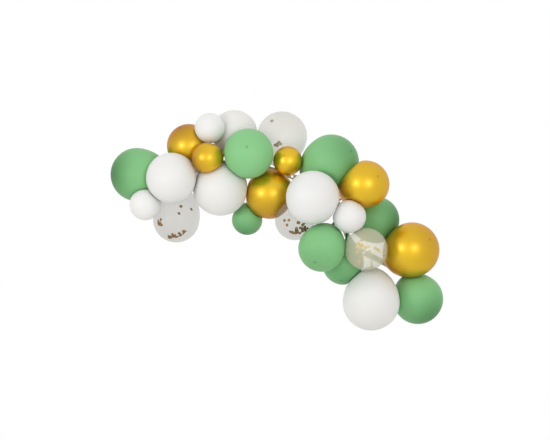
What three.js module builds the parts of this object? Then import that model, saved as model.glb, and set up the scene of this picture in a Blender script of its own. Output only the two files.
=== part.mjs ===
// A balloon garland for a wall: latex balloons in green, white, gold and clear, tied into the
// holes of a punched plastic tape that runs in an arch behind the front ones. The small balloons
// are stuck to their neighbours with glue dots.
// Millimetres. X runs to the right along the wall, Y back towards the wall, Z up.
// The origin is on the back face of the tape, at its middle hanging place.
import * as THREE from "three";

// Driving dimensions
const tape = {
  width: 24,
  thickness: 1,
  holeRadius: 5.5,
  holePitch: 38,
  holeSides: 8,
  endMargin: 14,
  stepsPerPitch: 1,
  // its middle line seen from the front, X and Z
  route: [
    [-511, -8.5], [-466, 2], [-401, 21], [-291, 51], [-177, 51], [-71, 23], [0, 0], [63, -24],
    [140, -63], [219, -125], [246, -195], [263, -270], [316, -331], [413, -382], [524, -448],
  ],
};
const bigBalloon = {
  sides: 16, rings: 7, neckRadius: 5, knotRadius: 7, lipRadius: 9.5, tailLength: 24,
};
const smallBalloon = {
  sides: 12, rings: 6, neckRadius: 3.2, knotRadius: 4.6, lipRadius: 6.5, tailLength: 16,
};
const smallestBigWidth = 150;
const glueDot = { radius: 5, thickness: 1, sides: 6 };
const shortestTail = 1.08; // of the radius, from a balloon's middle to where its neck starts
const longestTail = 1.35;
const tailTaper = 0.15; // how much slimmer than an ellipsoid the neck end is
const bodyEndTurn = 0.93 * Math.PI; // from the crown to where the neck starts
const neckBend = 0.4; // of the neck's length
const neckRoom = 20; // from the end of the body to the tape
const neckRingShares = [0.35, 0.7]; // of the way from the body to the hole
const neckInHole = 0.75; // of the hole's radius, at most
const looseTail = 1.2; // of the radius, on a glued balloon
const press = 0.85; // how close two pressed balloons' middles come, of their radii together
const innerBallCount = 4;
const gap = 0.4; // between two solids that touch
const tapeRoom = 3; // between a balloon's body and the tape
const rearRow = 30; // the rear balloons' middles stand at least this far in front of the tape

const latex = {
  green: new THREE.MeshStandardMaterial({ color: "#74b878", roughness: 0.35, metalness: 0 }),
  white: new THREE.MeshStandardMaterial({ color: "#efeeec", roughness: 0.4, metalness: 0 }),
  gold: new THREE.MeshStandardMaterial({ color: "#d8a520", roughness: 0.25, metalness: 0.9 }),
  clear: new THREE.MeshStandardMaterial({
    color: "#dcdad4", roughness: 0.2, metalness: 0, transparent: true, opacity: 0.4,
  }),
};
const tapePlastic = new THREE.MeshStandardMaterial({ color: "#e4e1d3", roughness: 0.3, metalness: 0 });
const clearGlue = new THREE.MeshStandardMaterial({ color: "#f2f2ee", roughness: 0.2, metalness: 0 });

// Every balloon, from the rear ones to the front ones, so that each is laid on those before it.
// at is its middle seen from the front, X and Z. A tied balloon names its hole in the tape,
// counted from the left. A glued one says which way its crown faces, and its knot hangs free.
// Where they aren't the usual ones, front is the least that its middle stands in front of the
// tape, press how hard it is squeezed, and longest the most that its tail is.
const balloons = [
  { name: "green_small_low", colour: "green", at: [-181, -197], width: 137, faces: [-0.22, -0.45, -1] },
  { name: "green_low_behind", colour: "green", at: [246, -389], width: 194, hole: 25 },
  { name: "green_left_end", colour: "green", at: [-667, 2], width: 238, hole: 1 },
  { name: "clear_left", colour: "clear", at: [-495, -195], width: 208, hole: 3 },
  { name: "gold_left", colour: "gold", at: [-439, 128], width: 195, hole: 4 },
  { name: "white_middle", colour: "white", at: [-299, -58], width: 245, hole: 7 },
  { name: "white_top", colour: "white", at: [-238, 184], width: 206, hole: 8 },
  { name: "clear_top", colour: "clear", at: [-27, 169], width: 225, hole: 13 },
  { name: "gold_middle", colour: "gold", at: [-81, -85], width: 219, hole: 12 },
  { name: "green_top_right", colour: "green", at: [189, 55], width: 246, hole: 16 },
  { name: "green_right", colour: "green", at: [388, -199], width: 209, hole: 23 },
  { name: "green_right_end", colour: "green", at: [573, -547], width: 225, hole: 33 },
  { name: "clear_low", colour: "clear", at: [30, -200], width: 177, hole: 17 },
  { name: "gold_right", colour: "gold", at: [338, -43], width: 210, hole: 21, press: 0.88, longest: 1.6 },
  { name: "gold_right_end", colour: "gold", at: [544, -331], width: 244, hole: 31, front: 118 },
  { name: "white_right_end", colour: "white", at: [364.5, -558], width: 253, hole: 29, front: 150 },
  { name: "green_front_low", colour: "green", at: [146, -323], width: 206, hole: 22 },
  { name: "white_front_left", colour: "white", at: [-513, -14], width: 224, hole: 2 },
  { name: "white_small_top", colour: "white", at: [-345, 205], width: 135, faces: [0.06, -0.95, 0.2] },
  { name: "gold_small_left", colour: "gold", at: [-356, 73], width: 136, faces: [-0.8, -0.6, -0.12] },
  { name: "green_front", colour: "green", at: [-174, 92], width: 221, hole: 10 },
  { name: "white_front_middle", colour: "white", at: [107, -101], width: 237, hole: 19 },
  { name: "clear_front_right", colour: "clear", at: [341, -327], width: 188, hole: 30 },
  { name: "white_small_left", colour: "white", at: [-629, -131], width: 140, faces: [-0.45, -0.8, -0.2] },
  { name: "gold_small_middle", colour: "gold", at: [-2, 60], width: 130, faces: [-0.24, -0.9, 0.33] },
  {
    name: "white_small_right", colour: "white", at: [266, -184], width: 148,
    faces: [0.1, -1, -0.1], front: 235,
  },
];

const tapeLine = new THREE.CatmullRomCurve3(
  tape.route.map(([x, z]) => new THREE.Vector3(x, 0, z)), false, "centripetal",
);
tapeLine.arcLengthDivisions = 800;
const routeLength = tapeLine.getLength();
const holeCount = Math.floor((routeLength - 2 * tape.endMargin) / tape.holePitch) + 1;
const tapeShare = (2 * tape.endMargin + (holeCount - 1) * tape.holePitch) / routeLength;
const holePlace = (number) => (
  tapeLine.getPointAt((tape.endMargin + (number - 1) * tape.holePitch) / routeLength)
);

// One long edge of the tape, to the left or right of its middle line by the sign of the side.
function tapeEdge(side) {
  const steps = holeCount * tape.stepsPerPitch;
  return Array.from({ length: steps + 1 }, (_, i) => {
    const middle = tapeLine.getPointAt(tapeShare * i / steps);
    const along = tapeLine.getTangentAt(tapeShare * i / steps);
    return middle.add(new THREE.Vector3(-along.z, 0, along.x).multiplyScalar(side * tape.width / 2));
  });
}

// The tape: the arch widened to both sides, with a round hole at every pitch, drawn flat and
// given its thickness towards the front.
function tapeGeometry() {
  const flat = (point) => new THREE.Vector2(point.x, point.z);
  const outline = new THREE.Shape([...tapeEdge(-1), ...tapeEdge(1).reverse()].map(flat));
  for (let number = 1; number <= holeCount; number++) {
    const rim = Array.from({ length: tape.holeSides }, (_, i) => {
      const turn = 2 * Math.PI * i / tape.holeSides;
      const out = new THREE.Vector2(Math.cos(turn), Math.sin(turn));
      return flat(holePlace(number)).addScaledVector(out, tape.holeRadius);
    });
    outline.holes.push(new THREE.Path(rim));
  }
  return new THREE.ExtrudeGeometry(outline, { depth: tape.thickness, bevelEnabled: false })
    .rotateX(Math.PI / 2);
}

// How far in front of a thing a middle must stand to be a reach away from it, where the two are
// already this far apart seen from the front.
const standOff = (reach, apart) => Math.sqrt(Math.max(0, reach ** 2 - apart ** 2));

// A balloon at a given depth: its middle, the way its crown faces, and how long its tail is. A
// tied one faces straight away from its hole.
function placeAt(given, depth) {
  const radius = given.width / 2;
  const middle = new THREE.Vector3(given.at[0], -depth, given.at[1]);
  if (!given.hole) {
    const facing = new THREE.Vector3(...given.faces).normalize();
    return { ...given, radius, middle, facing, tail: looseTail * radius };
  }
  const facing = middle.clone().sub(holePlace(given.hole));
  const longest = given.longest ?? longestTail;
  const tail = THREE.MathUtils.clamp(
    facing.length() - neckRoom, shortestTail * radius, longest * radius,
  );
  return { ...given, radius, middle, facing: facing.normalize(), tail };
}

// The balls that fit inside a balloon's body, from its middle towards its neck. The body is half
// a ball at the crown and half an ellipsoid at the neck.
function innerBalls({ middle, facing, radius, tail }) {
  const focus = standOff(tail, radius);
  return Array.from({ length: innerBallCount }, (_, i) => {
    const back = focus ** 2 / tail * i / (innerBallCount - 1);
    return {
      middle: middle.clone().addScaledVector(facing, -back),
      radius: radius * standOff(1, back / focus),
    };
  });
}

// Whether a point is inside a balloon's body or this near it.
function isInBody({ middle, facing, radius, tail }, point, room) {
  const arm = point.clone().sub(middle);
  const along = arm.dot(facing);
  const across = standOff(arm.length(), along);
  const length = along > 0 ? radius : tail;
  return (across / (radius + room)) ** 2 + (along / (length + room)) ** 2 < 1;
}

// Each balloon is as far back as it can be: resting on those laid before it, with room for its
// neck, and clear of the tape.
function layBalloons() {
  const edges = [...tapeEdge(-1), ...tapeEdge(1)];
  const laid = [];
  for (const given of balloons) {
    const { radius, middle } = placeAt(given, 0);
    let depth = given.front ?? rearRow;
    for (const other of laid) {
      const apart = Math.hypot(middle.x - other.middle.x, middle.z - other.middle.z);
      const reach = (given.press ?? press) * (radius + other.radius);
      if (apart < reach) depth = Math.max(depth, standOff(reach, apart) - other.middle.y);
    }
    if (given.hole) {
      const neckReach = shortestTail * radius + neckRoom;
      depth = Math.max(depth, standOff(neckReach, holePlace(given.hole).distanceTo(middle)));
    }
    while (edges.some((point) => isInBody(placeAt(given, depth), point, tapeRoom))) depth += 1;
    laid.push(placeAt(given, depth));
  }
  return laid;
}

// Where two balloons press together, both are flat in one plane: that of the circle in which
// their two most deeply pressed inner balls would cut each other. A glued balloon keeps room
// there for its dot.
function contacts(balloon, laid) {
  return laid.filter((other) => other !== balloon).flatMap((other) => {
    let deepest = { depth: -gap };
    for (const mine of innerBalls(balloon)) {
      for (const its of innerBalls(other)) {
        const normal = its.middle.clone().sub(mine.middle);
        const apart = normal.length();
        const depth = mine.radius + its.radius - apart;
        if (depth <= deepest.depth) continue;
        normal.divideScalar(apart);
        const distance = (apart ** 2 + mine.radius ** 2 - its.radius ** 2) / (2 * apart);
        const centre = mine.middle.clone().addScaledVector(normal, distance);
        deepest = { depth, normal, centre, flat: standOff(mine.radius, distance) };
      }
    }
    if (!deepest.normal) return [];
    const glued = (balloon.faces || other.faces) && deepest.flat > glueDot.radius * 2;
    const room = glued ? glueDot.thickness + 2 * gap : gap;
    return [{ ...deepest, glued, room }];
  });
}

// The middle line and radius of the neck, the knot and the rolled lip. A tied neck bends into
// its hole and leaves it square, and the knot sits behind the tape.
function neckRings(balloon, kind, bodyEnd, inwards) {
  const tied = balloon.hole !== undefined;
  const out = tied ? new THREE.Vector3(0, 1, 0) : inwards;
  const mouth = tied
    ? holePlace(balloon.hole)
    : bodyEnd.clone().addScaledVector(inwards, kind.neckRadius * 2);
  const bend = bodyEnd.distanceTo(mouth) * neckBend;
  const neck = new THREE.CubicBezierCurve3(
    bodyEnd,
    bodyEnd.clone().addScaledVector(inwards, bend),
    mouth.clone().addScaledVector(out, -bend),
    mouth,
  );
  const slimNeck = Math.min(kind.neckRadius, tape.holeRadius * neckInHole);
  const rings = neckRingShares.map((t) => ({
    middle: neck.getPoint(t), along: neck.getTangent(t), radius: kind.neckRadius, beforeTape: tied,
  }));
  // by share of the tail's length from the hole: neck, neck, knot, its other side, lip
  const knotAndLip = [
    [-0.12, slimNeck], [0.1, slimNeck], [0.35, kind.knotRadius], [0.6, slimNeck], [1, kind.lipRadius],
  ];
  for (const [share, radius] of knotAndLip) {
    const centre = mouth.clone().addScaledVector(out, share * kind.tailLength);
    rings.push({ middle: centre, along: out, radius });
  }
  return rings;
}

// One balloon as one closed skin: rings of points round its middle line, from the crown pole
// over the pear-shaped body, the neck and the knot to the lip.
function balloonGeometry(balloon, laid) {
  const kind = balloon.width < smallestBigWidth ? smallBalloon : bigBalloon;
  const { radius, middle, facing, tail } = balloon;
  const inwards = facing.clone().negate();
  const planes = contacts(balloon, laid);

  // a point beyond a contact plane is drawn in towards the balloon's middle
  const pressed = (point) => {
    const arm = point.clone().sub(middle);
    const shares = planes.map(({ normal, centre, room }) => {
      const flat = centre.clone().sub(middle).dot(normal) - room / 2;
      return flat / Math.max(normal.dot(arm), flat);
    });
    return middle.clone().addScaledVector(arm, Math.min(1, ...shares));
  };
  const asItIs = (point) => point;
  const clearOfTape = (point) => point.setY(Math.min(point.y, -tape.thickness - gap));
  const points = [];
  const rows = [];
  const addRing = (centre, first, second, ringRadius, sides, shape) => {
    const row = [];
    for (let i = 0; i < sides; i++) {
      const turn = 2 * Math.PI * i / sides;
      const point = centre.clone()
        .addScaledVector(first, ringRadius * Math.cos(turn))
        .addScaledVector(second, ringRadius * Math.sin(turn));
      row.push(points.push(shape(point)) - 1);
    }
    rows.push(row);
  };

  const crown = points.push(pressed(middle.clone().addScaledVector(facing, radius))) - 1;
  let first = new THREE.Vector3(1, 0, 0).cross(facing).normalize();
  let second = facing.clone().cross(first);
  let bodyEnd;
  for (let ring = 1; ring <= kind.rings; ring++) {
    const angle = bodyEndTurn * ring / kind.rings;
    const neckward = ((1 - Math.cos(angle)) / 2) ** 4;
    const along = Math.cos(angle) * (Math.cos(angle) > 0 ? radius : tail);
    const ringRadius = radius * Math.sin(angle) * (1 - tailTaper * neckward);
    bodyEnd = middle.clone().addScaledVector(facing, along);
    const last = ring === kind.rings && balloon.hole;
    const clear = last ? clearOfTape : asItIs;
    addRing(bodyEnd, first, second, ringRadius, kind.sides, (point) => clear(pressed(point)));
  }
  let along = inwards;
  for (const ring of neckRings(balloon, kind, bodyEnd, inwards)) {
    const turn = new THREE.Quaternion().setFromUnitVectors(along, ring.along);
    first = first.clone().applyQuaternion(turn);
    second = second.clone().applyQuaternion(turn);
    along = ring.along;
    const clear = ring.beforeTape ? clearOfTape : asItIs;
    addRing(ring.middle, first, second, ring.radius, kind.sides / 2, clear);
  }
  const lastRow = rows.at(-1);
  const end = points.push(
    lastRow.reduce((sum, i) => sum.add(points[i]), new THREE.Vector3()).divideScalar(lastRow.length),
  ) - 1;

  const faces = [];
  const place = (row, i) => row[i % row.length];
  rows[0].forEach((_, i) => faces.push(crown, place(rows[0], i), place(rows[0], i + 1)));
  for (let k = 0; k + 1 < rows.length; k++) {
    const [wide, next] = [rows[k], rows[k + 1]];
    const each = wide.length / next.length;
    next.forEach((_, i) => {
      for (let j = 0; j < each; j++) {
        faces.push(place(wide, i * each + j), place(next, i), place(wide, i * each + j + 1));
      }
      faces.push(place(wide, (i + 1) * each), place(next, i), place(next, i + 1));
    });
  }
  lastRow.forEach((_, i) => faces.push(end, place(lastRow, i + 1), place(lastRow, i)));

  const geometry = new THREE.BufferGeometry().setFromPoints(points);
  geometry.setIndex(faces);
  geometry.computeVertexNormals();
  return geometry;
}

// A dot of glue between a glued balloon and one it rests on, square to their contact.
function glueDotMesh(name, balloon, contact) {
  const { radius, thickness, sides } = glueDot;
  const dot = namedMesh(name, new THREE.CylinderGeometry(radius, radius, thickness, sides), clearGlue);
  dot.position.copy(contact.centre);
  dot.quaternion.setFromUnitVectors(new THREE.Vector3(0, 1, 0), contact.normal);
  return dot;
}

function namedMesh(name, geometry, material) {
  const mesh = new THREE.Mesh(geometry, material);
  mesh.name = name;
  return mesh;
}

const garland = new THREE.Group();
garland.add(namedMesh("balloon_tape", tapeGeometry(), tapePlastic));
const laid = layBalloons();
for (const balloon of laid) {
  const geometry = balloonGeometry(balloon, laid);
  garland.add(namedMesh("balloon_" + balloon.name, geometry, latex[balloon.colour]));
}
for (const balloon of laid.filter((each) => each.faces)) {
  contacts(balloon, laid).filter((contact) => contact.glued).forEach((contact, i) => {
    garland.add(glueDotMesh("glue_dot_" + balloon.name + "_" + (i + 1), balloon, contact));
  });
}

export default garland;
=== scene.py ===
# Balloon garland: the looks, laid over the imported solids. Metres, Z up, +Y back towards the wall.
import math

import bmesh
import bpy
import numpy as np
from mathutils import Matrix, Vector


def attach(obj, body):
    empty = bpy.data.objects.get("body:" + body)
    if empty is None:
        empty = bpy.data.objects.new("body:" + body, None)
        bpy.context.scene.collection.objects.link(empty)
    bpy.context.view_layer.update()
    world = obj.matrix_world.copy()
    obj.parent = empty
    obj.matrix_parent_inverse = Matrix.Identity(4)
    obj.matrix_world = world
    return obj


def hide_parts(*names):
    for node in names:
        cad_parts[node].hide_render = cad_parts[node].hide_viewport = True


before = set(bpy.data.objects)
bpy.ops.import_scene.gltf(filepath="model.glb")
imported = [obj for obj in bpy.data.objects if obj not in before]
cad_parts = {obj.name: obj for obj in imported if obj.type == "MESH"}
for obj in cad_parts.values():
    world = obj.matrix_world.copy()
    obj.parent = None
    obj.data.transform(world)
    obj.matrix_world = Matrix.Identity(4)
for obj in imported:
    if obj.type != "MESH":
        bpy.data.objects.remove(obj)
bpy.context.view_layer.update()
scene = bpy.context.scene
print("frame loaded:", len(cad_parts), "nodes")


# colours and shader nodes

# sRGB hex to linear: below 0.04045 divided by 12.92, above it ((c + 0.055) / 1.055) ^ 2.4
def toLinear(hexColour, alpha=1.0):
    shares = np.array([int(hexColour[i:i + 2], 16) / 255 for i in (1, 3, 5)])
    linear = np.where(shares <= 0.04045, shares / 12.92, ((shares + 0.055) / 1.055) ** 2.4)
    return (*linear.tolist(), alpha)


# adds one node: settings are its own properties, inputs its sockets' values or the sockets to link
def addNode(tree, kind, inputs=None, **settings):
    node = tree.nodes.new(kind)
    for name, value in settings.items():
        setattr(node, name, value)
    for name, value in (inputs or {}).items():
        if isinstance(value, bpy.types.NodeSocket):
            tree.links.new(value, node.inputs[name])
        else:
            node.inputs[name].default_value = value
    return node


def newMaterial(name):
    material = bpy.data.materials.new(name)
    material.use_nodes = True
    tree = material.node_tree
    tree.nodes.clear()
    output = addNode(tree, "ShaderNodeOutputMaterial")
    return material, tree, output


# meshes as whole arrays

# a closed tube: rows of rings between a first and a last single point, quads between the rings
# and a fan at each end
def tubeMesh(name, firstPoint, rings, lastPoint):
    rows, sides, _ = rings.shape
    points = np.concatenate([firstPoint[None], rings.reshape(-1, 3), lastPoint[None]])
    index = 1 + np.arange(rows * sides).reshape(rows, sides)
    turned = np.roll(index, -1, axis=1)
    quads = np.stack([index[:-1], index[1:], turned[1:], turned[:-1]], axis=-1).reshape(-1, 4)
    start = np.stack([np.zeros(sides, int), index[0], turned[0]], axis=-1)
    end = np.stack([np.full(sides, len(points) - 1), turned[-1], index[-1]], axis=-1)
    mesh = bpy.data.meshes.new(name)
    mesh.from_pydata(points.tolist(), [], quads.tolist() + start.tolist() + end.tolist())
    mesh.shade_smooth()
    return mesh


def addPiece(name, mesh, material, nodes=()):
    piece = bpy.data.objects.new(name, mesh)
    scene.collection.objects.link(piece)
    mesh.materials.append(material)
    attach(piece, "root")
    if nodes:
        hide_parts(*nodes)
    return piece


# the points of a solid, each one once
def solidPoints(node):
    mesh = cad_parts[node].data
    points = np.empty(len(mesh.vertices) * 3)
    mesh.vertices.foreach_get("co", points)
    return np.unique(points.reshape(-1, 3).round(6), axis=0)


def unit(vector):
    return vector / np.linalg.norm(vector)


# the balloons, read from their solids

balloonMake = {
    "sides": 96,
    "bodyRows": 70,
    "neckRows": 18,
    "tailRows": 44,
    "smallestBigRadius": 0.075,
    "crowdedAt": 0.0155,
    "crowdedNeighbour": 5,
    "lipRowPoints": 9,
    "fitRounds": 60,
    "pastMiddle": 0.02,
    "bodyEndTurn": 0.93 * math.pi,
    "shortestTail": 1.08,
    "longestTail": 1.35,
    "looseTail": 1.2,
    "stretchedTail": {"gold_right": 1.6},
    "tailTaper": 0.15,
    "neckRoom": 0.020,
    "neckBend": 0.4,
    "innerBalls": 4,
    "gap": 0.0004,
    "dotThickness": 0.001,
    "dotRadius": 0.005,
    "tapeThickness": 0.001,
    "softPress": 0.07,
    "reachCap": 3,
    "nippleHeight": 0.0010,
    "nippleWidth": 0.006,
    "slimNeck": 0.0041,
    "shoulderShare": 0.5,
    "pleatCount": 9,
    "pleatPhase": 400,
    "pleatFrom": 0.84 * math.pi,
    "big": {"neckRadius": 0.005, "knotRadius": 0.007, "lipRadius": 0.0095, "tailLength": 0.024},
    "small": {"neckRadius": 0.0032, "knotRadius": 0.0046, "lipRadius": 0.0065, "tailLength": 0.016},
}
# how unstretched the rubber is, from 0 to 1, with painted shade added: in the crown's spot, at its
# very middle, painted shade about the crown of a balloon that hangs sideways, where the neck starts
# and at the knot and lip
slackAndShadeMake = {
    "spot": 0.25,
    "spotWidth": 0.006,
    "pole": 0.7,
    # crown: how strong the painted shade is about the crown of a balloon that hangs sideways
    "crown": 0.95,
    "paintedShadeAngle": 1.1,
    "neckFrom": 0.55 * math.pi,
    "neckStart": 0.55,
    "alongNeck": 0.4,
}


# The ball of a body by weighted least squares on the points of its crown half: each round, the
# misfit |point - middle| - radius is made small, and a point that misfits more counts less, so
# that the flat contacts drop out.
def fitBall(points, neckPoint):
    middle = (points.min(axis=0) + points.max(axis=0)) / 2
    radius = np.max(points.max(axis=0) - points.min(axis=0)) / 2
    for _ in range(balloonMake["fitRounds"]):
        facing = unit(middle - neckPoint)
        arms = points - middle
        crown = arms @ facing > -balloonMake["pastMiddle"] * radius
        far = np.linalg.norm(arms[crown], axis=1)
        misfit = far - radius
        weight = 1 / np.sqrt(np.abs(misfit) + 1e-6)
        steps = np.concatenate([-arms[crown] / far[:, None], -np.ones((crown.sum(), 1))], axis=1)
        change = np.linalg.lstsq(steps * weight[:, None], -misfit * weight, rcond=None)[0]
        middle = middle + change[:3]
        radius = radius + change[3]
    return middle, radius


# A balloon's measures from its solid. A tied one's hole is found from its lip, a fixed way behind
# the tape. Its tail is what is left of the way to the hole beyond the neck's room, within limits.
def readBalloon(node):
    make = balloonMake
    points = solidPoints(node)
    apart = np.linalg.norm(points[:, None] - points[None], axis=2)
    nearby = np.sort(apart, axis=1)[:, make["crowdedNeighbour"]]
    crowded = nearby < make["crowdedAt"]  # the neck, knot and lip
    lipRow = points[np.abs(points[:, 1] - make["big"]["tailLength"]) < 5e-6]
    tied = len(lipRow) == make["lipRowPoints"]
    neckPoint = lipRow.mean(axis=0) * [1, 0, 1] if tied else points[crowded].mean(axis=0)
    middle, radius = fitBall(points[~crowded], neckPoint)
    toNeck = np.linalg.norm(middle - neckPoint)
    name = node.removeprefix("balloon_")
    tail = make["looseTail"] * radius
    if tied:
        longest = make["stretchedTail"].get(name, make["longestTail"])
        tail = np.clip(toNeck - make["neckRoom"], make["shortestTail"] * radius, longest * radius)
    return {
        "node": node, "name": name, "tied": tied, "hole": neckPoint,
        "middle": middle, "radius": radius, "facing": (middle - neckPoint) / toNeck, "tail": tail,
        "kind": make["big"] if radius > make["smallestBigRadius"] else make["small"],
    }


# the balls that fit inside a body, from its middle towards its neck
def innerBalls(balloon):
    radius, tail = balloon["radius"], balloon["tail"]
    focus = math.sqrt(tail ** 2 - radius ** 2)
    back = focus ** 2 / tail * np.linspace(0, 1, balloonMake["innerBalls"])
    middles = balloon["middle"] - back[:, None] * balloon["facing"]
    return middles, radius * np.sqrt(1 - (back / focus) ** 2)


# Where two balloons press together, both are flat in one plane: that of the circle in which
# their two most deeply pressed inner balls would cut each other.
def contactPlanes(balloon, balloons):
    planes = []
    mine, myRadii = innerBalls(balloon)
    for other in balloons:
        if other is balloon:
            continue
        its, itsRadii = innerBalls(other)
        normals = its[None] - mine[:, None]
        apart = np.linalg.norm(normals, axis=2)
        depth = myRadii[:, None] + itsRadii[None] - apart
        i, j = np.unravel_index(np.argmax(depth), depth.shape)
        if depth[i, j] <= -balloonMake["gap"]:
            continue
        normal = normals[i, j] / apart[i, j]
        distance = (apart[i, j] ** 2 + myRadii[i] ** 2 - itsRadii[j] ** 2) / (2 * apart[i, j])
        flatRadius = math.sqrt(max(0, myRadii[i] ** 2 - distance ** 2))
        centre = mine[i] + normal * distance
        glued = not (balloon["tied"] and other["tied"]) and flatRadius > 2 * balloonMake["dotRadius"]
        room = balloonMake["gap"] * 2 + balloonMake["dotThickness"] if glued else balloonMake["gap"]
        planes.append((normal, (centre - balloon["middle"]) @ normal - room / 2))
    return planes


# the smaller of two, rounded over where they are within the width of each other
def softMin(a, b, width):
    near = np.maximum(width - np.abs(a - b), 0) / width
    return np.minimum(a, b) - near ** 2 * width / 4


# the share of its length that an arm from the middle keeps, where contacts press the skin in
def pressedShare(arms, planes):
    share = np.ones(arms.shape[:-1])
    for normal, flat in planes:
        reach = np.maximum(arms @ normal, flat / balloonMake["reachCap"])
        share = softMin(share, flat / reach, balloonMake["softPress"])
    return share


# A balloon's skin as rings about one middle line. The body is a half ball at the crown and a
# half ellipsoid at the neck, slimmed by the fourth power of its way to the neck. The neck's line
# is a cubic Bezier from the body into the hole. The knot and the rolled lip are a profile along
# a straight line. A slack value goes with each ring: 1 where the latex isn't stretched, and raised
# by painted shade about the crown of a balloon that hangs sideways.
def balloonSkin(balloon, planes):
    make, kind = balloonMake, balloon["kind"]
    middle, radius, facing, tail = (balloon[key] for key in ("middle", "radius", "facing", "tail"))
    inwards = -facing
    wall = np.array([0.0, 1.0, 0.0])
    out = wall if balloon["tied"] else inwards
    side = np.cross(inwards, wall)
    side = unit(side) if np.linalg.norm(side) > 1e-3 else np.array([1.0, 0.0, 0.0])
    turns = np.linspace(0, 2 * math.pi, make["sides"], endpoint=False)

    # body
    angle = np.linspace(0, make["bodyEndTurn"], make["bodyRows"] + 1)[1:]
    neckward = ((1 - np.cos(angle)) / 2) ** 4
    along = np.cos(angle) * np.where(np.cos(angle) > 0, radius, tail)
    ringRadius = radius * np.sin(angle) * (1 - make["tailTaper"] * neckward)
    nipple = make["nippleHeight"] * np.exp(-(radius * angle / make["nippleWidth"]) ** 2)
    bodyLine = middle + (along + nipple)[:, None] * facing
    bodyEnd = middle + along[-1] * facing

    # neck
    hole = balloon["hole"] if balloon["tied"] else bodyEnd + inwards * kind["neckRadius"] * 2
    bend = np.linalg.norm(hole - bodyEnd) * make["neckBend"]
    corners = np.array([bodyEnd, bodyEnd + inwards * bend, hole - out * bend, hole])
    t = np.linspace(0, 1, make["neckRows"] + 1)[1:, None]
    neckLine = (
        (1 - t) ** 3 * corners[0] + 3 * (1 - t) ** 2 * t * corners[1]
        + 3 * (1 - t) * t ** 2 * corners[2] + t ** 3 * corners[3]
    )
    neckWay = (
        (1 - t) ** 2 * (corners[1] - corners[0]) + 2 * (1 - t) * t * (corners[2] - corners[1])
        + t ** 2 * (corners[3] - corners[2])
    )
    neckWay = neckWay / np.linalg.norm(neckWay, axis=1, keepdims=True)
    shoulder = np.clip(1 - t[:, 0] / make["shoulderShare"], 0, 1) ** 3
    slim = min(kind["neckRadius"], make["slimNeck"])
    neckRadius = slim + (ringRadius[-1] - slim) * shoulder

    # knot and lip: share of the tail's length, radius
    knot, lip = kind["knotRadius"], kind["lipRadius"]
    profile = np.array([
        (0, slim), (0.1, slim), (0.16, slim * 1.02), (0.22, knot * 0.86), (0.3, knot),
        (0.4, knot * 0.98), (0.46, knot * 0.8), (0.5, slim * 1.02), (0.56, slim * 1.02),
        (0.66, slim * 1.3), (0.8, lip * 0.72), (0.9, lip * 0.9), (0.93, lip * 0.99), (0.97, lip),
        (1.0, lip * 0.97), (1.01, lip * 0.9), (0.98, lip * 0.82), (0.94, lip * 0.76),
        (0.84, lip * 0.6), (0.72, slim * 0.9), (0.66, slim * 0.4),
    ])
    way = np.linspace(0, len(profile) - 1, make["tailRows"] + 1)[1:]
    tailAlong = np.interp(way, np.arange(len(profile)), profile[:, 0]) * kind["tailLength"]
    tailRadius = np.interp(way, np.arange(len(profile)), profile[:, 1])
    tailLine = hole + tailAlong[:, None] * out

    line = np.concatenate([bodyLine, neckLine, tailLine])
    ways = np.concatenate([
        np.tile(inwards, (len(bodyLine), 1)), neckWay, np.tile(out, (len(tailLine), 1)),
    ])
    radii = np.concatenate([ringRadius, neckRadius, tailRadius])
    up = np.cross(ways, side)
    # slack and painted shade: the crown's spot, painted shade about a sideways crown and the slow rise to
    # the neck
    spot = slackAndShadeMake["spot"] * np.exp(-(radius * angle / slackAndShadeMake["spotWidth"]) ** 2)
    sideways = 1 - abs(facing[1])
    # painted shade: a deeper, darker colour about the crown of a balloon that hangs sideways, on its outer
    # side
    paintedShadeAboutCrown = slackAndShadeMake["crown"] * sideways * np.exp(-(angle / slackAndShadeMake["paintedShadeAngle"]) ** 2)
    neckFrom = slackAndShadeMake["neckFrom"]
    towardsNeck = np.clip((angle - neckFrom) / (make["bodyEndTurn"] - neckFrom), 0, 1) ** 2
    slackAndShade = np.concatenate([
        spot + paintedShadeAboutCrown + slackAndShadeMake["neckStart"] * towardsNeck,
        slackAndShadeMake["neckStart"] + slackAndShadeMake["alongNeck"] * t[:, 0], np.ones(len(tailLine)),
    ])
    # fine pleats run from the knot into the shoulder
    towardsPleats = (angle - make["pleatFrom"]) / (make["bodyEndTurn"] - make["pleatFrom"])
    pleats = np.concatenate([
        np.clip(towardsPleats, 0, 1) * 0.02, 0.02 + 0.05 * t[:, 0], np.full(len(tailLine), 0.05),
    ])
    pleatTurn = make["pleatCount"] * turns + balloon["radius"] * make["pleatPhase"]
    radii = radii[:, None] * (1 + pleats[:, None] * np.cos(pleatTurn)[None])
    rings = line[:, None] + radii[..., None] * (
        np.cos(turns)[None, :, None] * side + np.sin(turns)[None, :, None] * up[:, None]
    )
    rows = len(bodyLine)
    arms = rings[:rows] - middle
    rings[:rows] = middle + arms * pressedShare(arms, planes)[..., None]
    if balloon["tied"]:
        front = -make["tapeThickness"] - make["gap"]
        nearTape = slice(int(rows * 0.95), rows + int(make["neckRows"] * 0.85))
        rings[nearTape, :, 1] = np.minimum(rings[nearTape, :, 1], front)
    crown = middle + facing * (radius + make["nippleHeight"])
    crown = middle + (crown - middle) * pressedShare((crown - middle)[None], planes)[0]
    slackAndShadeValues = np.concatenate([[slackAndShadeMake["pole"]], np.repeat(slackAndShade, make["sides"]), [1.0]])
    return crown, rings, line[-1], slackAndShadeValues


balloonNodes = [node for node in sorted(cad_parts) if node.startswith("balloon_")]
balloonNodes.remove("balloon_tape")
balloons = [readBalloon(node) for node in balloonNodes]
print("balloons read:", len(balloons), "tied:", sum(each["tied"] for each in balloons))


# latex finishes

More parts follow.
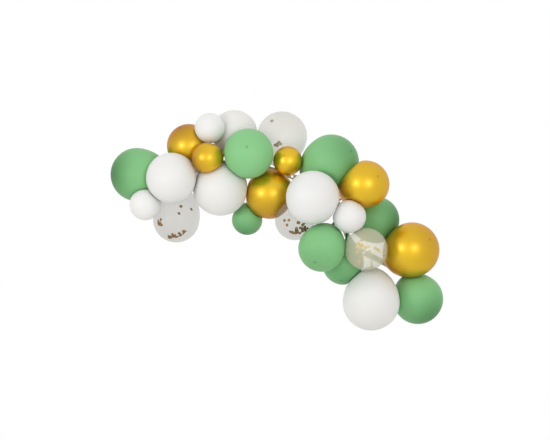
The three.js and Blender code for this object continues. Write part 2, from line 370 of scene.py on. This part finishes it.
# a blend of two colours or sockets by a factor
def mixColour(tree, factor, first, second):
    node = tree.nodes.new("ShaderNodeMix")
    node.data_type = "RGBA"
    for socket, value in ((node.inputs[0], factor), (node.inputs[6], first), (node.inputs[7], second)):
        if isinstance(value, bpy.types.NodeSocket):
            tree.links.new(value, socket)
        else:
            socket.default_value = value
    return node.outputs[2]


# body and deep are the two colours of its cloudiness, and the slack colour that of unstretched rubber
# and of the painted shade about a sideways crown. glow is how much light goes in and comes out soft,
# and coat the clear layer over metal pigment.
latexLooks = {
    "green": {
        "name": "pastelGreenLatexBlown", "body": "#86c286", "deep": "#7fbd7f", "slackAndShade": "#055018",
        "roughness": 0.42, "metallic": 0.0, "alpha": 1.0, "glow": 0.0, "coat": 0.0, "specular": 0.2,
    },
    "white": {
        "name": "whiteLatexBlown", "body": "#dfdfde", "deep": "#dcdbd9", "slackAndShade": "#e1ded5",
        "roughness": 0.5, "metallic": 0.0, "alpha": 1.0, "glow": 1.0, "coat": 0.0, "specular": 0.5,
    },
    "gold": {
        "name": "chromeGoldLatexBlown", "body": "#eec822", "deep": "#ebc11a", "slackAndShade": "#8c3a00",
        "roughness": 0.44, "metallic": 0.95, "alpha": 1.0, "glow": 0.0, "coat": 0.65, "specular": 0.5,
    },
    "clear": {
        "name": "clearLatexBlown", "body": "#a39e90", "deep": "#9a9585", "slackAndShade": "#7f7558",
        "roughness": 0.3, "metallic": 0.0, "alpha": 0.3, "glow": 0.0, "coat": 0.0, "specular": 0.5,
    },
    "yellowish": {
        "name": "clearLatexLittleBlown", "body": "#d8d7c0", "deep": "#d2d0b8", "slackAndShade": "#c4c0a0",
        "roughness": 0.3, "metallic": 0.0, "alpha": 0.46, "glow": 0.0, "coat": 0.0, "specular": 0.5,
    },
    "milky": {
        "name": "clearLatexHalfBlown", "body": "#dddad3", "deep": "#d6d3ca", "slackAndShade": "#c4bfae",
        "roughness": 0.3, "metallic": 0.0, "alpha": 0.4, "glow": 0.0, "coat": 0.0, "specular": 0.5,
    },
}
# two clear balloons are blown up less than the others, so they are milkier or yellower
ownLooks = {"clear_top": "milky", "clear_front_right": "yellowish"}
# scales are per metre: a cloud is about 9 cm across, and a grain of the orange peel 4 mm
latexMake = {
    "cloudScale": 11.0,
    "peelScale": 240.0,
    "peelStrength": 0.12,
    "peelDepth": 0.0002,
    "ior": 1.52,
    "glowDepth": 0.05,
    "coatRoughness": 0.3,
    "goldRim": "#d98a1e",
}


# Natural rubber latex, dipped on a form and blown up to a thin stretched skin: a soft gloss, a
# faint cloudiness, and a deeper colour where the rubber is thicker, at the crown's spot and towards
# the neck, with painted shade about the crown of a balloon that hangs sideways. Light passes into
# the white and comes out soft. The gold has metal pigment under a clear layer, so its sharpest
# light is white.
def makeLatex(look):
    material, tree, output = newMaterial(look["name"])
    place = addNode(tree, "ShaderNodeTexCoord").outputs["Object"]
    cloud = addNode(tree, "ShaderNodeTexNoise", {
        "Vector": place, "Scale": latexMake["cloudScale"], "Detail": 2.0,
    })
    body = mixColour(tree, cloud.outputs["Fac"], toLinear(look["body"]), toLinear(look["deep"]))
    # the slack colour is mixed in for thicker rubber and as painted shade about a sideways crown
    slackAndShadeNode = addNode(tree, "ShaderNodeAttribute", attribute_name="slackAndShade")
    colour = mixColour(tree, slackAndShadeNode.outputs["Fac"], body, toLinear(look["slackAndShade"]))
    # the skin's fine orange peel, drawn coarser than it is so that it shows in the gloss
    peel = addNode(tree, "ShaderNodeTexNoise", {
        "Vector": place, "Scale": latexMake["peelScale"], "Detail": 1.0,
    })
    bump = addNode(tree, "ShaderNodeBump", {
        "Height": peel.outputs["Fac"], "Strength": latexMake["peelStrength"],
        "Distance": latexMake["peelDepth"],
    })
    shader = addNode(tree, "ShaderNodeBsdfPrincipled", {
        "Base Color": colour, "Roughness": look["roughness"], "Metallic": look["metallic"],
        "Alpha": look["alpha"], "Specular IOR Level": look["specular"],
        "Normal": bump.outputs["Normal"],
    })
    if look["metallic"] == 0:
        shader.inputs["IOR"].default_value = latexMake["ior"]
    else:
        shader.inputs["Specular Tint"].default_value = toLinear(latexMake["goldRim"])
    if look["glow"]:
        shader.inputs["Subsurface Weight"].default_value = look["glow"]
        shader.inputs["Subsurface Radius"].default_value = (1.0, 1.0, 1.0)
        shader.inputs["Subsurface Scale"].default_value = latexMake["glowDepth"]
    if look["coat"]:
        shader.inputs["Coat Weight"].default_value = look["coat"]
        shader.inputs["Coat Roughness"].default_value = latexMake["coatRoughness"]
    tree.links.new(shader.outputs["BSDF"], output.inputs["Surface"])
    return material


latex = {colour: makeLatex(look) for colour, look in latexLooks.items()}

for balloon in balloons:
    balloon["planes"] = contactPlanes(balloon, balloons)
    balloon["colour"] = balloon["name"].split("_")[0]
    crown, rings, end, slackAndShade = balloonSkin(balloon, balloon["planes"])
    mesh = tubeMesh("latex_" + balloon["name"], crown, rings, end)
    mesh.attributes.new("slackAndShade", "FLOAT", "POINT").data.foreach_set("value", slackAndShade.astype(np.float32))
    look = ownLooks.get(balloon["name"], balloon["colour"])
    addPiece("latex_" + balloon["name"], mesh, latex[look], [balloon["node"]])
print("balloons made")


# confetti

confettiMake = {
    "radius": 0.007,
    "sides": 14,
    "thickness": 0.00012,
    "fromSkin": 0.0036,
    "tilt": 0.2,
    "leastFront": 0.05,
    "seed": 7,
    # where it clings: left or right and up or down from the middle in radii, spread, how many
    "clear_left": [
        (-0.68, -0.1, 0.09, 9), (-0.25, -0.8, 0.07, 7), (-0.05, -0.76, 0.06, 5),
        (0.15, -0.72, 0.06, 4), (0.35, -0.6, 0.05, 4), (0.2, 0.42, 0.1, 2), (0.6, 0.38, 0.04, 1),
    ],
    "clear_top": [(-0.42, 0.64, 0.02, 2), (-0.18, -0.35, 0.07, 6), (-0.4, -0.85, 0.05, 2)],
    "clear_low": [(0.45, -0.4, 0.2, 18), (0.1, -0.6, 0.2, 6), (-0.45, -0.1, 0.2, 3)],
    "clear_front_right": [
        (-0.25, 0.2, 0.22, 12), (0.1, 0.1, 0.3, 5), (0.5, 0.0, 0.1, 3), (-0.3, -0.6, 0.1, 2),
    ],
}


# how far the skin is from the middle along a way: a ball on the crown's side, an ellipsoid on
# the neck's side, and no further than the contacts let it
def skinReach(balloon, ways):
    forward = ways @ balloon["facing"]
    across = 1 - forward ** 2
    length = np.where(forward > 0, balloon["radius"], balloon["tail"])
    reach = 1 / np.sqrt(across / balloon["radius"] ** 2 + forward ** 2 / length ** 2)
    return reach * pressedShare(ways * reach[:, None], balloon["planes"])


# Foil discs flat against the inside of the skin: each is a thin prism of a regular polygon,
# placed at its own way from the middle and square to it, apart from a small tilt.
def confettiMesh(name, balloon, clusters, dice):
    make = confettiMake
    ways = []
    for x, z, spread, count in clusters:
        y = -math.sqrt(max(make["leastFront"], 1 - x * x - z * z))
        ways.append(np.array([x, y, z]) + dice.normal(0, spread, (count, 3)))
    ways = np.concatenate(ways)
    ways /= np.linalg.norm(ways, axis=1, keepdims=True)
    middles = balloon["middle"] + ways * (skinReach(balloon, ways) - make["fromSkin"])[:, None]
    normals = ways + dice.normal(0, make["tilt"], ways.shape)
    normals /= np.linalg.norm(normals, axis=1, keepdims=True)
    first = np.cross(normals, dice.normal(0, 1, ways.shape))
    first /= np.linalg.norm(first, axis=1, keepdims=True)
    second = np.cross(normals, first)
    turns = np.linspace(0, 2 * math.pi, make["sides"], endpoint=False)
    rim = make["radius"] * (
        np.cos(turns)[None, :, None] * first[:, None]
        + np.sin(turns)[None, :, None] * second[:, None]
    )
    lift = normals[:, None] * make["thickness"] / 2
    points = np.concatenate([middles[:, None] + rim - lift, middles[:, None] + rim + lift], axis=1)
    sides = make["sides"]
    base = np.arange(len(ways))[:, None, None] * 2 * sides
    low = np.arange(sides)
    following = np.roll(low, -1)
    walls = np.stack([low, following, following + sides, low + sides], axis=-1)[None] + base
    tops = (low + sides)[None] + base[:, :, 0]
    bottoms = low[::-1][None] + base[:, :, 0]
    faces = walls.reshape(-1, 4).tolist() + tops.tolist() + bottoms.tolist()
    mesh = bpy.data.meshes.new(name)
    mesh.from_pydata(points.reshape(-1, 3).tolist(), [], faces)
    return mesh


# metallised polyester foil, punched: gold with a fine crinkle, between a light and a dark side
def makeFoil(name, light, dark):
    material, tree, output = newMaterial(name)
    place = addNode(tree, "ShaderNodeTexCoord").outputs["Object"]
    crinkle = addNode(tree, "ShaderNodeTexNoise", {"Vector": place, "Scale": 160.0, "Detail": 1.0})
    colour = mixColour(tree, crinkle.outputs["Fac"], toLinear(light), toLinear(dark))
    bump = addNode(tree, "ShaderNodeBump", {
        "Height": crinkle.outputs["Fac"], "Strength": 0.3, "Distance": 0.0006,
    })
    shader = addNode(tree, "ShaderNodeBsdfPrincipled", {
        "Base Color": colour, "Roughness": 0.35, "Metallic": 0.8, "Normal": bump.outputs["Normal"],
    })
    tree.links.new(shader.outputs["BSDF"], output.inputs["Surface"])
    return material


foil = makeFoil("goldFoilPunched", "#c88a00", "#4a2800")
brightFoil = makeFoil("lemonGoldFoilPunched", "#ffe03a", "#c8960c")
dice = np.random.default_rng(confettiMake["seed"])
for balloon in balloons:
    if balloon["name"] in confettiMake:
        name = "confetti_" + balloon["name"]
        mesh = confettiMesh(name, balloon, confettiMake[balloon["name"]], dice)
        bright = balloon["name"] == "clear_front_right"
        addPiece(name, mesh, brightFoil if bright else foil)
print("confetti made")


# tape

tapeMake = {
    "width": 0.024,
    "holeRadius": 0.0055,
    "thickness": 0.001,
    "endMargin": 0.014,
    "rimPoints": 32,
    "rimRows": 4,
}


# The middles of the solid's holes: the points halfway between two rim points that are a hole's
# width apart, where four such pairs share one middle. They are put in order along the tape.
def holeMiddles():
    points = solidPoints("balloon_tape")
    back = points[points[:, 1] > -1e-5][:, [0, 2]]
    apart = np.linalg.norm(back[:, None] - back[None], axis=2)
    i, j = np.nonzero(np.triu(np.abs(apart - 2 * tapeMake["holeRadius"]) < 5e-6))
    halfway, count = np.unique(((back[i] + back[j]) / 2).round(5), axis=0, return_counts=True)
    near = np.linalg.norm(halfway[:, None] - halfway[None], axis=2) < 5e-5
    total = near @ count
    middles = halfway[total >= 4]
    gaps = np.linalg.norm(middles[:, None] - middles[None], axis=2)
    middles = middles[~np.any(np.tril(gaps < 1e-3, -1), axis=1)]
    order = [int(np.argmin(middles[:, 0]))]
    while len(order) < len(middles):
        gone = np.linalg.norm(middles - middles[order[-1]], axis=1)
        gone[order] = np.inf
        order.append(int(np.argmin(gone)))
    return middles[order]


# The tape is one cell per hole. In a cell, rings run from the round rim out to the cell's
# rectangle, and every point is then moved from its place along and across to the bent line.
def tapeMesh():
    make = tapeMake
    holes = holeMiddles()
    steps = np.linalg.norm(np.diff(holes, axis=0), axis=1)
    atHole = np.concatenate([[0], np.cumsum(steps)])
    half = make["width"] / 2
    knots = np.concatenate([
        [-make["endMargin"]], (atHole[1:] + atHole[:-1]) / 2, [atHole[-1] + make["endMargin"]],
    ])
    n = make["rimPoints"]
    k = n // 8
    quarter = np.linspace(-1, 1, 2 * k, endpoint=False)
    edgeU = np.concatenate([np.ones(2 * k), -quarter, -np.ones(2 * k), quarter])
    edgeV = np.concatenate([quarter, np.ones(2 * k), -quarter, -np.ones(2 * k)])
    turn = np.arctan2(edgeV, edgeU)
    rows = np.linspace(0, 1, make["rimRows"] + 1)
    places = []
    for number, at in enumerate(atHole):
        u = np.where(edgeU > 0, edgeU * (knots[number + 1] - at), edgeU * (at - knots[number]))
        rimU, rimV = make["holeRadius"] * np.cos(turn), make["holeRadius"] * np.sin(turn)
        along = at + rimU[None] + rows[:, None] * (u - rimU)[None]
        across = rimV[None] + rows[:, None] * (edgeV * half - rimV)[None]
        places.append(np.stack([along, across], axis=-1))
    places = np.stack(places)
    # bend: the line through the holes is a smooth cubic, its slope at a hole that of its neighbours
    slope = np.gradient(holes, atHole, axis=0)
    s = places[..., 0]
    cell = np.clip(np.searchsorted(atHole, s) - 1, 0, len(atHole) - 2)
    length = (atHole[cell + 1] - atHole[cell])[..., None]
    w = (s - atHole[cell])[..., None] / length
    a, b = holes[cell], holes[cell + 1]
    ma, mb = slope[cell] * length, slope[cell + 1] * length
    inside = (
        (2 * w ** 3 - 3 * w ** 2 + 1) * a + (w ** 3 - 2 * w ** 2 + w) * ma
        + (3 * w ** 2 - 2 * w ** 3) * b + (w ** 3 - w ** 2) * mb
    )
    way = (
        (6 * w ** 2 - 6 * w) * a + (3 * w ** 2 - 4 * w + 1) * ma
        + (6 * w - 6 * w ** 2) * b + (3 * w ** 2 - 2 * w) * mb
    )
    before, after = (w < 0), (w > 1)
    inside = np.where(before, a + w * ma, np.where(after, b + (w - 1) * mb, inside))
    way = np.where(before, ma, np.where(after, mb, way))
    way = way / np.linalg.norm(way, axis=-1, keepdims=True)
    flat = inside + places[..., 1:2] * np.stack([-way[..., 1], way[..., 0]], axis=-1)

    cells, ringRows, ringPoints, _ = flat.shape
    index = np.arange(cells * ringRows * ringPoints).reshape(cells, ringRows, ringPoints)
    turned = np.roll(index, -1, axis=2)
    quads = np.stack([index[:, :-1], turned[:, :-1], turned[:, 1:], index[:, 1:]], axis=-1)
    quads = quads.reshape(-1, 4)
    flat = flat.reshape(-1, 2)
    points = np.stack([flat[:, 0], np.zeros(len(flat)), flat[:, 1]], axis=-1)
    mesh = bpy.data.meshes.new("punched_tape")
    mesh.from_pydata(points.tolist(), [], quads.tolist())
    work = bmesh.new()
    work.from_mesh(mesh)
    bmesh.ops.remove_doubles(work, verts=work.verts, dist=2e-5)
    work.to_mesh(mesh)
    work.free()
    return mesh


# soft clear PVC strip, extruded and punched: milky where it is seen edge on, with a soft gloss
def makeTapePlastic():
    material, tree, output = newMaterial("clearPvcExtruded")
    place = addNode(tree, "ShaderNodeTexCoord").outputs["Object"]
    cloud = addNode(tree, "ShaderNodeTexNoise", {"Vector": place, "Scale": 40.0, "Detail": 2.0})
    colour = mixColour(tree, cloud.outputs["Fac"], toLinear("#f6f0dd"), toLinear("#ece5ca"))
    bump = addNode(tree, "ShaderNodeBump", {
        "Height": cloud.outputs["Fac"], "Strength": 0.3, "Distance": 0.0005,
    })
    shader = addNode(tree, "ShaderNodeBsdfPrincipled", {
        "Base Color": colour, "Roughness": 0.3, "IOR": 1.53, "Normal": bump.outputs["Normal"],
    })
    tree.links.new(shader.outputs["BSDF"], output.inputs["Surface"])
    return material


tape = addPiece("punched_tape", tapeMesh(), makeTapePlastic(), ["balloon_tape"])
wall = tape.modifiers.new("thickness", "SOLIDIFY")
wall.thickness = tapeMake["thickness"]
wall.offset = -1
edge = tape.modifiers.new("soft edge", "BEVEL")
edge.width = 0.0002
edge.segments = 2
edge.limit_method = "ANGLE"
print("tape made")


# glue dots

dotMake = {"radius": 0.005, "thickness": 0.001, "sides": 32}


# A soft dot: a flat round pad with a bulging rim, turned about the line that is square to the
# solid's two flat sides.
def dotMesh(node):
    points = solidPoints(node)
    centre = points.mean(axis=0)
    _, _, ways = np.linalg.svd(points - centre)
    across, _, square = ways[0], ways[1], ways[2]
    other = np.cross(square, across)
    half = dotMake["thickness"] / 2
    bulge = np.linspace(-math.pi / 2, math.pi / 2, 9)
    radii = np.concatenate([[0.4], [0.75], 0.9 + 0.1 * np.cos(bulge), [0.75], [0.4]]) * dotMake["radius"]
    along = np.concatenate([[-half, -half], half * np.sin(bulge), [half, half]])
    turns = np.linspace(0, 2 * math.pi, dotMake["sides"], endpoint=False)
    rings = centre + along[:, None, None] * square + radii[:, None, None] * (
        np.cos(turns)[None, :, None] * across + np.sin(turns)[None, :, None] * other
    )
    return tubeMesh(node + "_pad", centre - half * square, rings, centre + half * square)


# pressure-sensitive rubber glue, moulded as a dot: clear and soft, with a wet gloss
def makeGlue():
    material, tree, output = newMaterial("clearRubberGlueMoulded")
    place = addNode(tree, "ShaderNodeTexCoord").outputs["Object"]
    cloud = addNode(tree, "ShaderNodeTexNoise", {"Vector": place, "Scale": 300.0, "Detail": 1.0})
    colour = mixColour(tree, cloud.outputs["Fac"], toLinear("#f4f3ee"), toLinear("#e4e2da"))
    shader = addNode(tree, "ShaderNodeBsdfPrincipled", {
        "Base Color": colour, "Roughness": 0.15, "IOR": 1.48, "Alpha": 0.7,
    })
    tree.links.new(shader.outputs["BSDF"], output.inputs["Surface"])
    return material


glue = makeGlue()
for node in sorted(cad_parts):
    if node.startswith("glue_dot_"):
        addPiece(node.replace("glue_dot_", "glue_pad_"), dotMesh(node), glue, [node])
print("glue dots made")


# stage, light and camera

stageMake = {
    "floorHeight": -1.75,
    "floorSize": 9.0,
    "frameWidth": 2.42,
    "frameMiddle": (-0.0581, -0.1993),
    "cameraDistance": 15.0,
    "sharpDepth": 0.12,
    "sensor": 36.0,
    "litHeight": -0.15,
}

half = stageMake["floorSize"] / 2
floorMesh = bpy.data.meshes.new("pale_floor")
corners = [(-half, -half), (half, -half), (half, half), (-half, half)]
floorMesh.from_pydata([(x, y, stageMake["floorHeight"]) for x, y in corners], [], [(0, 1, 2, 3)])
floor = bpy.data.objects.new("pale_floor", floorMesh)
scene.collection.objects.link(floor)
floorMaterial, floorTree, floorOutput = newMaterial("paleFloorPainted")
floorShader = addNode(floorTree, "ShaderNodeBsdfPrincipled", {
    "Base Color": toLinear("#e9e8e6"), "Roughness": 0.7,
})
floorTree.links.new(floorShader.outputs["BSDF"], floorOutput.inputs["Surface"])
floorMesh.materials.append(floorMaterial)

# The room's light by direction: brightest in front, a little dimmer at the sides and below. The
# backdrop that the camera sees past the object is plain white.
world = bpy.data.worlds.new("softStudio")
scene.world = world
world.use_nodes = True
tree = world.node_tree
tree.nodes.clear()
way = addNode(tree, "ShaderNodeTexCoord").outputs["Generated"]
split = addNode(tree, "ShaderNodeSeparateXYZ", {"Vector": way})
share = addNode(tree, "ShaderNodeMapRange", {"Value": split.outputs["Y"], "From Min": -1.0, "From Max": 1.0})
ramp = addNode(tree, "ShaderNodeValToRGB", {"Fac": share.outputs["Result"]})
stops = [(0.0, 1.15), (0.05, 1.0), (0.12, 0.94), (0.5, 0.86), (0.75, 0.86), (1.0, 1.0)]
while len(ramp.color_ramp.elements) < len(stops):
    ramp.color_ramp.elements.new(0.5)
for element, (at, value) in zip(ramp.color_ramp.elements, stops):
    element.position = at
    element.color = (value, value, value, 1)
height = addNode(tree, "ShaderNodeMapRange", {
    "Value": split.outputs["Z"], "From Min": -1.0, "From Max": 1.0, "To Min": 0.92, "To Max": 1.06,
})
light = addNode(tree, "ShaderNodeBackground", {
    "Color": ramp.outputs["Color"], "Strength": height.outputs["Result"],
})
plain = addNode(tree, "ShaderNodeBackground", {"Color": (1, 1, 1, 1), "Strength": 1.0})
path = addNode(tree, "ShaderNodeLightPath")
both = addNode(tree, "ShaderNodeMixShader", {"Fac": path.outputs["Is Camera Ray"]})
tree.links.new(light.outputs["Background"], both.inputs[1])
tree.links.new(plain.outputs["Background"], both.inputs[2])
addNode(tree, "ShaderNodeOutputWorld", {"Surface": both.outputs["Shader"]})

# soft boxes: place, size, watts
softBoxes = {
    "left_box": ((-2.6, -3.0, 0.25), 0.9, 25.0),
    "right_box": ((1.3, -4.6, 0.3), 1.0, 26.0),
}
for name, (at, size, watts) in softBoxes.items():
    lamp = bpy.data.lights.new(name, "AREA")
    lamp.shape = "SQUARE"
    lamp.size = size
    lamp.energy = watts
    box = bpy.data.objects.new(name, lamp)
    scene.collection.objects.link(box)
    box.location = at
    towards = Vector((0, 0, stageMake["litHeight"])) - Vector(at)
    box.rotation_euler = towards.to_track_quat("-Z", "Y").to_euler()

camera = bpy.data.cameras.new("photo_camera")
camera.sensor_width = stageMake["sensor"]
trueScaleDistance = stageMake["cameraDistance"] - stageMake["sharpDepth"]
camera.lens = stageMake["sensor"] * trueScaleDistance / stageMake["frameWidth"]
cameraObject = bpy.data.objects.new("photo_camera", camera)
scene.collection.objects.link(cameraObject)
cameraX, cameraZ = stageMake["frameMiddle"]
cameraObject.location = (cameraX, -stageMake["cameraDistance"], cameraZ)
cameraObject.rotation_euler = (math.pi / 2, 0, 0)
scene.camera = cameraObject
scene.view_settings.view_transform = "Standard"
